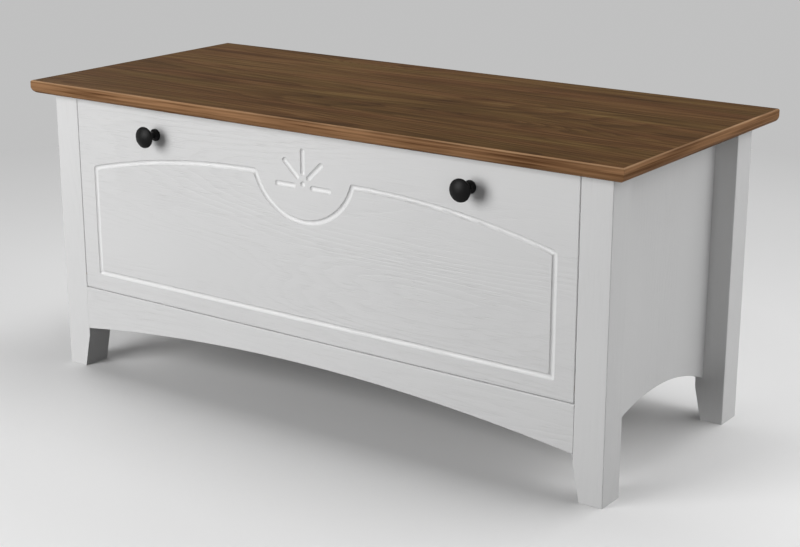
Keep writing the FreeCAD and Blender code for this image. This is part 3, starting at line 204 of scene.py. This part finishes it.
class Shader:
    """One material, with short calls for the nodes that the finishes share."""

    def __init__(self, name):
        self.material = bpy.data.materials.new(name)
        self.material.use_nodes = True
        self.tree = self.material.node_tree
        self.tree.nodes.clear()
        self.surface = self.add("ShaderNodeBsdfPrincipled")
        self.output = self.add("ShaderNodeOutputMaterial")
        self.tree.links.new(self.surface.outputs[0], self.output.inputs["Surface"])
        coordinates = self.add("ShaderNodeTexCoord")
        self.place = coordinates.outputs["Object"]
        self.facing = coordinates.outputs["Normal"]

    def add(self, kind, settings=None, feeds=None):
        """A new node, with its settings and with values or links for its inputs."""
        node = self.tree.nodes.new(kind)
        for key, value in (settings or {}).items():
            setattr(node, key, value)
        for key, value in (feeds or {}).items():
            self.feed(node.inputs[key], value)
        return node

    def feed(self, socket, value):
        """Link a socket to another one, or give it a number or a colour."""
        if isinstance(value, bpy.types.NodeSocket):
            self.tree.links.new(value, socket)
        elif hasattr(value, "__len__") and len(value) == 3 and len(socket.default_value) == 4:
            socket.default_value = (*value, 1.0)
        else:
            socket.default_value = value

    def stretched(self, scale, shift=(0, 0, 0), source=None):
        feeds = {"Vector": source or self.place, "Location": shift, "Scale": scale}
        return self.add("ShaderNodeMapping", feeds=feeds).outputs[0]

    def noise(self, vector, scale=1.0, detail=3.0, roughness=0.5):
        feeds = {"Vector": vector, "Scale": scale, "Detail": detail, "Roughness": roughness}
        return self.add("ShaderNodeTexNoise", feeds=feeds).outputs[0]

    def grain(self, axis, waves, shift=(0, 0, 0), source=None, **kind):
        """Noise whose waves per metre differ along the axis and across it."""
        along, across = waves
        scale = tuple(along if name == axis else across for name in "XYZ")
        return self.noise(self.stretched(scale, shift, source), **kind)

    def calc(self, operation, first, second=0.0):
        return self.add("ShaderNodeMath", {"operation": operation}, {0: first, 1: second}).outputs[0]

    def total(self, *terms):
        """The sum of some values, each times its weight."""
        result = None
        for value, weight in terms:
            term = self.calc("MULTIPLY", value, weight)
            result = term if result is None else self.calc("ADD", result, term)
        return result

    def span(self, value, low, high, to_low=0.0, to_high=1.0):
        """The value's place between low and high, brought between to_low and to_high."""
        feeds = {"Value": value, "From Min": low, "From Max": high, "To Min": to_low, "To Max": to_high}
        return self.add("ShaderNodeMapRange", {"clamp": True}, feeds).outputs[0]

    def blend(self, factor, first, second, way="MIX"):
        settings = {"data_type": "RGBA", "blend_type": way, "clamp_factor": True}
        node = self.add("ShaderNodeMix", settings)
        self.feed(node.inputs[0], factor)
        self.feed(node.inputs[6], first)
        self.feed(node.inputs[7], second)
        return node.outputs[2]

    def ramp(self, value, stops):
        """Colours at rising places between 0 and 1."""
        node = self.add("ShaderNodeValToRGB", feeds={0: value})
        marks = node.color_ramp.elements
        for place, _ in stops[1:-1]:
            marks.new(place)
        for mark, (place, colour) in zip(marks, stops):
            mark.position = place
            mark.color = (*colour, 1.0)
        return node.outputs[0]

    def toned(self, value, low, high, tones):
        """The first tone up to low, the second from high on."""
        return self.ramp(value, list(zip((low, high), tones)))

    def parts(self, vector):
        return self.add("ShaderNodeSeparateXYZ", feeds={0: vector}).outputs

    def joined(self, x, y, z):
        return self.add("ShaderNodeCombineXYZ", feeds={0: x, 1: y, 2: z}).outputs[0]

    def relief(self, height, depth, below=None):
        """A fine relief, on top of the rounded edges where these are given."""
        feeds = {"Height": height, "Distance": depth, "Strength": 1.0}
        if below is not None:
            feeds["Normal"] = below
        return self.add("ShaderNodeBump", feeds=feeds).outputs[0]

    def soft_edges(self, radius):
        return self.add("ShaderNodeBevel", {"samples": 4}, {"Radius": radius}).outputs[0]

    def finish(self, **feeds):
        """The material, once its surface has what feeds say. An underscore stands for a space."""
        for key, value in feeds.items():
            self.feed(self.surface.inputs[key.replace("_", " ")], value)
        return self.material


def seen_directly(tree):
    """1 for rays that show a surface, also by gloss or through glass, and 0 for those that light it."""
    rays = tree.nodes.new("ShaderNodeLightPath")
    seen = rays.outputs["Is Camera Ray"]
    for kind in ("Is Glossy Ray", "Is Transmission Ray"):
        either = tree.nodes.new("ShaderNodeMath")
        either.operation = "MAXIMUM"
        tree.links.new(seen, either.inputs[0])
        tree.links.new(rays.outputs[kind], either.inputs[1])
        seen = either.outputs[0]
    return seen


def times(share, colour):
    return tuple(share * part for part in colour)


def late_wood(shader, axis, shift, count, waves, source=None, knots=()):
    """The dark line of each growth ring, from contours that run along the grain and close in arches.

    A knot is a place, its reach along and across the grain, and its strength.
    """
    swell = shader.grain(axis, waves, shift, source, detail=1.5, roughness=0.4)
    ripple = shader.grain(axis, RING_RIPPLE, shift, source, detail=2.0)
    swell = shader.total((swell, 1.0), (ripple, RING_RIPPLE_SHARE))
    for middle, reach, strength in knots:
        scale = tuple(1 / part for part in reach)
        centred = tuple(-part / size for part, size in zip(middle, reach))
        near = shader.add("ShaderNodeTexGradient", {"gradient_type": "QUADRATIC_SPHERE"})
        shader.feed(near.inputs[0], shader.stretched(scale, centred))
        swell = shader.calc("ADD", swell, shader.calc("MULTIPLY", near.outputs[1], strength))
    saw = shader.calc("FRACT", shader.calc("MULTIPLY", swell, count))
    return shader.calc("MULTIPLY", shader.span(saw, 0.35, 0.92), shader.span(saw, 0.92, 1.0, 1.0, 0.0))


def painted_wood(name, axis, shift, strength=1.0, face=None):
    """Satin white paint, through which the pores and growth lines of the board still show.

    Behind the plane y = face, in the milled grooves and on the flap's edges and back, the paint is a
    brighter
    white: painted light, which lifts the shade in the grooves and in the gaps round the flap.
    """
    shader = Shader(name)
    broad = shader.grain(axis, PAINT_BROAD, shift, detail=2.0)
    pores = shader.grain(axis, PAINT_PORES, shift, detail=3.0, roughness=0.62)
    patches = shader.grain(axis, PAINT_PATCHES, shift, detail=2.0)
    lines = shader.grain(axis, PAINT_LINES, shift, detail=3.0, roughness=0.55)
    growth = late_wood(shader, axis, shift, PAINT_RINGS, PAINT_RING_SWELL)
    shown = shader.span(patches, 0.40, 0.62, 0.12 * strength, strength)
    pits = shader.calc("MULTIPLY", shader.span(pores, 0.34, 0.46, 1.0, 0.0), shown)
    streaks = shader.total((growth, 0.6), (lines, 0.4))
    streaks = shader.calc("MULTIPLY", shader.span(streaks, 0.20, 0.75), shown)
    tone = shader.ramp(broad, [(0.30, times(0.965, PAINT)), (0.70, PAINT)])
    tone = shader.blend(shader.calc("MULTIPLY", pits, 0.42), tone, times(0.86, PAINT))
    tone = shader.blend(shader.calc("MULTIPLY", streaks, 0.11), tone, times(0.78, PAINT))
    # Painted light: the grooves and the flap's edges get a brighter paint, which lifts the shade in them.
    if face is not None:
        painted_light_share = shader.span(shader.parts(shader.place)[1], face + PAINTED_LIGHT_START, face + PAINTED_LIGHT_FULL)
        tone = shader.blend(painted_light_share, tone, GROOVE_PAINTED_LIGHT)
    brush = shader.grain(axis, PAINT_BRUSH, shift, detail=2.0)
    orange_peel = shader.noise(shader.place, scale=420.0, detail=1.0)
    height = shader.total((pits, -0.6), (streaks, -0.5), (brush, 0.25), (orange_peel, 0.10))
    return shader.finish(
        Base_Color=tone,
        Roughness=shader.span(shader.calc("ADD", pits, broad), 0.3, 1.6, 0.36, 0.52),
        Specular_IOR_Level=0.40,
        Normal=shader.relief(height, PAINT_RELIEF, shader.soft_edges(PAINT_EDGE)),
    )


def lid_top_tone(shader, value, pits, bent, shift):
    """The lid's flat faces, their stain painted darker as shade: deep in its pores, reddish in some
    streaks, olive in others.
    """
    hue = shader.grain("X", STAIN_HUES, tuple(part + HUE_SHIFT for part in shift), bent, detail=3.0)
    tone = shader.ramp(value, [(0.34, STAIN_DEEP), (0.58, STAIN_MID), (0.80, STAIN_LIGHT)])
    tone = shader.blend(shader.calc("MULTIPLY", pits, 0.40), tone, STAIN_DEEP)
    cast = shader.ramp(hue, [(0.36, RED_CAST), (0.64, OLIVE_CAST)])
    return shader.blend(1.0, tone, cast, "MULTIPLY")


def lid_lip_tone(shader, rise, shift):
    """The lid's edges, grain round the outline, paler as painted light, with painted highlight and wear on
    the upper arris.
    """
    x, y, z = shader.parts(shader.place)
    round_edge = shader.joined(shader.calc("ADD", x, y), z, 0.0)
    lines = shader.noise(shader.stretched(LIP_LINES, shift, round_edge), detail=4.0, roughness=0.62)
    broad = shader.noise(shader.stretched(LIP_BROAD, shift, round_edge), detail=3.0)
    value = shader.total((lines, 0.75), (broad, 0.45))
    tone = shader.ramp(value, [(0.44, EDGE_DEEP), (0.72, EDGE_LIGHT)])
    # Painted highlight and wear: where the upper arris faces partly up, it is lighter in random patches.
    upper = shader.calc("MULTIPLY", shader.span(rise, 0.25, 0.60), shader.span(rise, 0.90, 0.99, 1.0, 0.0))
    highlight_and_wear = shader.span(broad, 0.40, 0.60, 0.35, 0.80)
    return shader.blend(shader.calc("MULTIPLY", upper, highlight_and_wear), tone, EDGE_HIGHLIGHT_AND_WEAR)


def stained_wood(name, shift):
    """Walnut stain under satin varnish on the lid, its top painted darker and its edges paler by how light
    falls.
    """
    shader = Shader(name)
    x, y, z = shader.parts(shader.place)
    sway = shader.grain("X", STAIN_SWAY, shift, detail=2.0)
    sway = shader.calc("MULTIPLY", shader.calc("SUBTRACT", sway, 0.5), SWAY_REACH)
    bent = shader.joined(x, shader.calc("ADD", y, sway), z)
    figure = late_wood(shader, "X", shift, STAIN_RINGS, STAIN_RING_SWELL, bent, LID_KNOTS)
    tones = shader.grain("X", STAIN_BANDS, shift, bent, detail=5.0, roughness=0.62)
    streaks = shader.grain("X", STAIN_STREAKS, shift, bent, detail=4.0, roughness=0.6)
    fibres = shader.grain("X", STAIN_FIBRES, shift, bent, detail=2.0)
    pores = shader.grain("X", STAIN_PORES, shift, bent, detail=2.0)
    pits = shader.span(pores, 0.33, 0.42, 1.0, 0.0)
    value = shader.total((figure, -0.12), (tones, 0.58), (streaks, 0.60), (fibres, 0.05))
    top = lid_top_tone(shader, value, pits, bent, shift)
    rise = shader.parts(shader.facing)[2]
    lip = lid_lip_tone(shader, rise, shift)
    # The painted split between the darker top and underside and the paler, painted-lit edges, by which way
    # a face points.
    flat = shader.span(shader.calc("ABSOLUTE", rise), 0.90, 0.985)
    height = shader.total((streaks, 0.7), (pits, -1.0))
    return shader.finish(
        Base_Color=shader.blend(flat, lip, top),
        Roughness=shader.span(value, 0.3, 0.9, 0.56, 0.46),
        Specular_IOR_Level=0.02,
        Normal=shader.relief(height, LID_RELIEF, shader.soft_edges(WOOD_EDGE)),
    )


def stained_batten(name, shift):
    """The stained battens under the lid, whose grain runs from front to back."""
    shader = Shader(name)
    lines = shader.grain("Y", STAIN_STREAKS, shift, detail=4.0, roughness=0.6)
    broad = shader.grain("Y", BATTEN_BROAD, shift, detail=3.0)
    value = shader.total((lines, 0.6), (broad, 0.4))
    return shader.finish(
        Base_Color=shader.ramp(value, [(0.34, STAIN_DEEP), (0.68, STAIN_LIGHT)]),
        Roughness=shader.span(lines, 0.3, 0.7, 0.58, 0.46),
        Specular_IOR_Level=0.15,
        Normal=shader.relief(lines, WOOD_RELIEF, shader.soft_edges(WOOD_EDGE)),
    )


def bare_pine(name, axis, shift):
    """Planed softwood with honey coloured late wood lines."""
    shader = Shader(name)
    lines = shader.grain(axis, PINE_LINES, shift, detail=4.0, roughness=0.55)
    fibres = shader.grain(axis, PINE_FIBRES, shift, detail=2.0)
    value = shader.total((lines, 0.8), (fibres, 0.2))
    return shader.finish(
        Base_Color=shader.toned(value, 0.36, 0.66, PINE_TONES),
        Roughness=shader.span(fibres, 0.2, 0.8, 0.62, 0.74),
        Specular_IOR_Level=0.35,
        Normal=shader.relief(value, WOOD_RELIEF, shader.soft_edges(WOOD_EDGE)),
    )


def black_iron(name):
    """Matt black cast iron: a fine uneven skin under the coating."""
    shader = Shader(name)
    skin = shader.noise(shader.place, scale=900.0, detail=3.0, roughness=0.6)
    broad = shader.noise(shader.place, scale=70.0, detail=2.0)
    return shader.finish(
        Base_Color=shader.toned(broad, 0.35, 0.70, IRON_TONES),
        Roughness=shader.span(skin, 0.3, 0.7, 0.36, 0.46),
        Specular_IOR_Level=0.12,
        Normal=shader.relief(skin, IRON_RELIEF),
    )


def metal(name, tones, axis, rough):
    """Drawn or turned metal with fine lines one way and slightly mottled plating."""
    shader = Shader(name)
    drawn = shader.grain(axis, METAL_LINES, detail=2.0)
    mottle = shader.noise(shader.place, scale=240.0, detail=3.0)
    value = shader.total((drawn, 0.4), (mottle, 0.6))
    return shader.finish(
        Base_Color=shader.toned(value, 0.35, 0.65, tones),
        Metallic=1.0,
        Roughness=shader.span(value, 0.35, 0.65, rough, rough + 0.12),
        Normal=shader.relief(drawn, METAL_RELIEF, shader.soft_edges(METAL_EDGE)),
    )


def moulded_plastic(name):
    """Pale plastic with the fine spark of a blasted mould."""
    shader = Shader(name)
    spark = shader.noise(shader.place, scale=1600.0, detail=1.0)
    broad = shader.noise(shader.place, scale=60.0, detail=1.0)
    return shader.finish(
        Base_Color=shader.toned(broad, 0.3, 0.7, PLASTIC_TONES),
        Roughness=shader.span(spark, 0.3, 0.7, 0.45, 0.55),
        Normal=shader.relief(spark, PLASTIC_RELIEF, shader.soft_edges(PLASTIC_EDGE)),
    )


def board_finish(node, slot, shift):
    """The finish of one board, with its own place in the grain."""
    if slot == "white_wood":
        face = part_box("flap_panel")[0][1] if node == "flap_panel" else None
        axis, strength = ("Z", UPRIGHT_STRENGTH) if node in UPRIGHT else ("X", 1.0)
        return painted_wood(f"paint_{node}", axis, shift, strength, face)
    if node == "lid_board":
        return stained_wood("stain_lid_board", shift)
    if slot == "lid_wood":
        return stained_batten(f"stain_{node}", shift)
    along_depth = node in ("bottom_cleat_left", "bottom_cleat_right")
    return bare_pine(f"pine_{node}", "Y" if along_depth else "X", shift)


def dress_all():
    """A finish for every CAD node: one of its own for a board, a shared one for the rest."""
    shared = {
        "black_iron": black_iron("black_iron"),
        "zinc_steel": metal("zinc_steel", ZINC_TONES, "X", 0.30),
        "bush_brass": metal("bush_brass", BRASS_TONES, "X", 0.26),
        "catch_plastic": moulded_plastic("catch_plastic"),
    }
    slots = {entry["node"]: entry["material_slot"] for entry in frame["record"]["subparts"]}
    for index, (node, slot) in enumerate(sorted(slots.items())):
        shift = tuple(step * index for step in GRAIN_STEP)
        finish = shared[slot] if slot in shared else board_finish(node, slot, shift)
        materials = nodes[node].data.materials
        materials.clear()
        materials.append(finish)


def loose_parts(node):
    """The separate solids of a CAD node, as the lowest and highest corner and the points of each."""
    work = bmesh.new()
    work.from_mesh(nodes[node].data)
    bmesh.ops.remove_doubles(work, verts=work.verts, dist=WELD)
    waiting = set(work.verts)
    found = []
    for start in work.verts:
        if start not in waiting:
            continue
        waiting.discard(start)
        front = [start]
        points = []
        while front:
            vert = front.pop()
            points.append(vert.co.copy())
            for edge in vert.link_edges:
                other = edge.other_vert(vert)
                if other in waiting:
                    waiting.discard(other)
                    front.append(other)
        low = Vector(min(point[axis] for point in points) for axis in range(3))
        high = Vector(max(point[axis] for point in points) for axis in range(3))
        found.append((low, high, points))
    work.free()
    return found


def fastener_place(low, high, points):
    """Where a round fastener's head ends, which way it faces, its head's and shank's radii, its length."""
    size = high - low
    axis = min(range(3), key=lambda one: abs(size[one - 1] - size[one - 2]))
    middle = (low + high) / 2
    others = (axis - 1, axis - 2)
    reaches = [math.hypot(*(point[one] - middle[one] for one in others)) for point in points]
    wide, thin = max(reaches), min(reaches)
    upper = [reach for point, reach in zip(points, reaches) if high[axis] - point[axis] < END_BAND]
    way = Vector((0, 0, 0))
    way[axis] = 1 if max(upper) > (wide + thin) / 2 else -1
    at = middle + way * size[axis] / 2
    return at, way, wide, thin, size[axis]


def lathe(work, profile, sides=LATHE_SIDES):
    """Rings round the Z axis, joined by faces. A radius of zero closes an end."""
    rings = []
    for radius, height in profile:
        count = sides if radius else 1
        turns = [2 * math.pi * index / sides for index in range(count)]
        places = [(radius * math.cos(turn), radius * math.sin(turn), height) for turn in turns]
        rings.append([work.verts.new(place) for place in places])
    for upper, lower in zip(rings, rings[1:]):
        for index in range(sides):
            after = (index + 1) % sides
            if len(upper) == 1:
                work.faces.new((upper[0], lower[index], lower[after]))
            elif len(lower) == 1:
                work.faces.new((upper[index], lower[0], upper[after]))
            else:
                work.faces.new((upper[index], lower[index], lower[after], upper[after]))


def cross_points(reach, half, height):
    """A plus sign's outline: twelve points, from the right arm's root round to the left."""
    points = []
    for cosine, sine in ((1, 0), (0, 1), (-1, 0), (0, -1)):
        for x, y in ((half, -half), (reach, -half), (reach, half)):
            points.append((x * cosine - y * sine, x * sine + y * cosine, height))
    return points


def sink_recess(work, radius):
    """A tapered cross recess in the open top of a screw's head, which is closed round it."""
    reach, half = RECESS_REACH_SHARE * radius, RECESS_HALF_SHARE * radius
    foot_reach, foot_half = reach * RECESS_FOOT_SHARE, half * RECESS_FOOT_HALF_SHARE
    upper = [work.verts.new(point) for point in cross_points(reach, half, 0)]
    foot = cross_points(foot_reach, foot_half, -RECESS_DEPTH_SHARE * radius)
    lower = [work.verts.new(point) for point in foot]
    count = len(upper)
    for index in range(count):
        after = (index + 1) % count
        work.faces.new((upper[index], upper[after], lower[after], lower[index]))
    roots = range(0, count, 3)
    for root in roots:
        work.faces.new([lower[(root + step) % count] for step in range(4)])
    work.faces.new([lower[root] for root in roots])
    open_edges = [edge for edge in work.edges if edge.is_boundary]
    bmesh.ops.triangle_fill(work, use_beauty=True, edges=open_edges)


def countersunk_screw(work, wide, thin, length):
    """A flat head that tapers into the shank, and a point at its end."""
    rim = wide - RIM_ROUND
    point = length - POINT_SHARE * thin
    lathe(work, [(rim, 0), (wide, -RIM_ROUND), (thin, -SINK_DEPTH), (thin, -point), (0, -length)])
    sink_recess(work, wide)


def pan_screw(work, wide, thin, length):
    """A domed head on a machine screw with a blunt end."""
    profile = [(wide * share, -PAN_HEIGHT * drop) for share, drop in PAN_DOME]
    profile += [(thin, -PAN_HEIGHT), (thin, TIP_ROUND - length), (thin - TIP_ROUND, -length), (0, -length)]
    lathe(work, profile)
    sink_recess(work, wide)


def rivet(work, wide, thin, length):
    """Both heads domed, the far one the mirror image of the near one."""
    near = [(wide * share, -RIVET_HEAD_HEIGHT * drop) for share, drop in RIVET_DOME]
    near.append((thin, -RIVET_HEAD_HEIGHT))
    far = [(radius, -length - height) for radius, height in reversed(near)]
    lathe(work, near + far)


def body_of(node):
    groups = frame["record"]["behaviour"]["bodies"]
    return next(body for body, members in groups.items() if node in members)


def new_piece(name, work, material, body):
    """A finished mesh, with soft shading between its sharp edges, on its body."""
    bmesh.ops.recalc_face_normals(work, faces=work.faces)
    mesh = bpy.data.meshes.new(name)
    work.to_mesh(mesh)
    work.free()
    for face in mesh.polygons:
        face.use_smooth = True
    mesh.set_sharp_from_angle(angle=math.radians(SHARP_TURN))
    mesh.materials.append(material)
    piece = bpy.data.objects.new(name, mesh)
    bpy.context.collection.objects.link(piece)
    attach(piece, body)
    return piece


def make_fasteners(node, build, material):
    """The same fasteners in the same places, with real heads."""
    work = bmesh.new()
    for number, (low, high, points) in enumerate(loose_parts(node)):
        at, way, wide, thin, length = fastener_place(low, high, points)
        done = len(work.verts)
        build(work, wide, thin, length)
        work.verts.ensure_lookup_table()
        spin = Matrix.Rotation(SPIN_STEP * number, 4, "Z")
        turn = way.to_track_quat("Z", "Y").to_matrix().to_4x4()
        bmesh.ops.transform(work, matrix=Matrix.Translation(at) @ turn @ spin, verts=work.verts[done:])
    piece = new_piece(f"{node}_detailed", work, material, body_of(node))
    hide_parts(node)


def make_all_fasteners():
    """Detailed screws and rivets in place of the plain ones."""
    zinc = metal("zinc_fasteners", SCREW_TONES, "Z", 0.28)
    for node in sorted(nodes):
        if node == "knob_screws":
            make_fasteners(node, pan_screw, zinc)
        elif node.endswith("_screws"):
            make_fasteners(node, countersunk_screw, zinc)
        elif node.endswith("_rivets"):
            make_fasteners(node, rivet, zinc)


def make_catch_poles(side):
    """The two steel pole plates of a magnetic catch, which stand just proud of its front."""
    low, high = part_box(f"catch_{side}")
    work = bmesh.new()
    for share in POLE_HEIGHT_SHARES:
        height = low.z + (high.z - low.z) * share
        centre = Vector(((low.x + high.x) / 2, low.y + POLE_DEPTH / 2 - POLE_PROUD, height))
        size = Vector(((high.x - low.x) * POLE_LENGTH_SHARE, POLE_DEPTH, POLE_THICKNESS))
        made = bmesh.ops.create_cube(work, size=1.0)["verts"]
        bmesh.ops.scale(work, vec=size, verts=made)
        bmesh.ops.translate(work, vec=centre, verts=made)
    bmesh.ops.bevel(work, geom=work.edges[:], offset=POLE_ROUND, segments=2, affect="EDGES")
    steel = metal(f"pole_steel_{side}", POLE_TONES, "X", 0.30)
    new_piece(f"catch_poles_{side}", work, steel, "carcass")


def floor_finish():
    """A pale matt floor near the chest, which turns into the plain backdrop further out."""
    shader = Shader("floor")
    seen = seen_directly(shader.tree)
    tone = shader.blend(seen, FLOOR_BOUNCE, FLOOR_TONE)
    finish = shader.finish(Base_Color=tone, Roughness=0.85, Specular_IOR_Level=0.15)
    reach = shader.add("ShaderNodeVectorMath", {"operation": "LENGTH"}, {0: shader.place}).outputs[1]
    far = shader.calc("MULTIPLY", shader.span(reach, *FLOOR_FADE), seen)
    glow = shader.add("ShaderNodeEmission", feeds={"Color": BACKDROP_TONE, "Strength": 1.0}).outputs[0]
    mix = shader.add("ShaderNodeMixShader", feeds={0: far, 1: shader.surface.outputs[0], 2: glow})
    shader.feed(shader.output.inputs["Surface"], mix.outputs[0])
    return finish


def make_floor():
    """A flat round floor, whose rings lie closer near the chest."""
    work = bmesh.new()
    shares = [(ring / FLOOR_RINGS) ** FLOOR_CROWDING for ring in range(FLOOR_RINGS + 1)]
    lathe(work, [(FLOOR_RADIUS * share, 0) for share in shares], FLOOR_SPOKES)
    mesh = bpy.data.meshes.new("floor")
    work.to_mesh(mesh)
    work.free()
    mesh.materials.append(floor_finish())
    floor = bpy.data.objects.new("floor", mesh)
    bpy.context.collection.objects.link(floor)


def make_world():
    """The backdrop where it is seen, and a low even light elsewhere."""
    world = bpy.data.worlds.new("studio")
    bpy.context.scene.world = world
    world.use_nodes = True
    tree = world.node_tree
    tree.nodes.clear()
    mix = tree.nodes.new("ShaderNodeMixShader")
    tree.links.new(seen_directly(tree), mix.inputs[0])
    for index, tone in ((1, AMBIENT_TONE), (2, BACKDROP_TONE)):
        glow = tree.nodes.new("ShaderNodeBackground")
        glow.inputs[0].default_value = (*tone, 1.0)
        tree.links.new(glow.outputs[0], mix.inputs[index])
    output = tree.nodes.new("ShaderNodeOutputWorld")
    tree.links.new(mix.outputs[0], output.inputs[0])


def make_lamp(name, bearing, climb, distance, size, power):
    turn = math.radians(bearing)
    lift = math.radians(climb)
    way = Vector((math.sin(turn) * math.cos(lift), -math.cos(turn) * math.cos(lift), math.sin(lift)))
    lamp = bpy.data.lights.new(name, "AREA")
    lamp.shape = "SQUARE"
    lamp.size = size
    lamp.energy = power
    holder = bpy.data.objects.new(name, lamp)
    bpy.context.collection.objects.link(holder)
    holder.location = Vector(LAMP_AIM) + way * distance
    holder.rotation_euler = way.to_track_quat("Z", "Y").to_euler()


def make_camera():
    lens = bpy.data.cameras.new("camera")
    lens.lens = CAMERA_LENS
    lens.sensor_width = SENSOR_WIDTH
    lens.sensor_fit = "HORIZONTAL"
    camera = bpy.data.objects.new("camera", lens)
    bpy.context.collection.objects.link(camera)
    camera.location = CAMERA_PLACE
    camera.rotation_euler = (math.radians(90 - CAMERA_PITCH), 0, math.radians(CAMERA_YAW))
    bpy.context.scene.camera = camera


bpy.context.scene.view_settings.view_transform = "Standard"
make_camera()
make_world()
for lamp, setting in LAMPS.items():
    make_lamp(lamp, *setting)
make_floor()
dress_all()
make_all_fasteners()
for side in ("left", "right"):
    make_catch_poles(side)
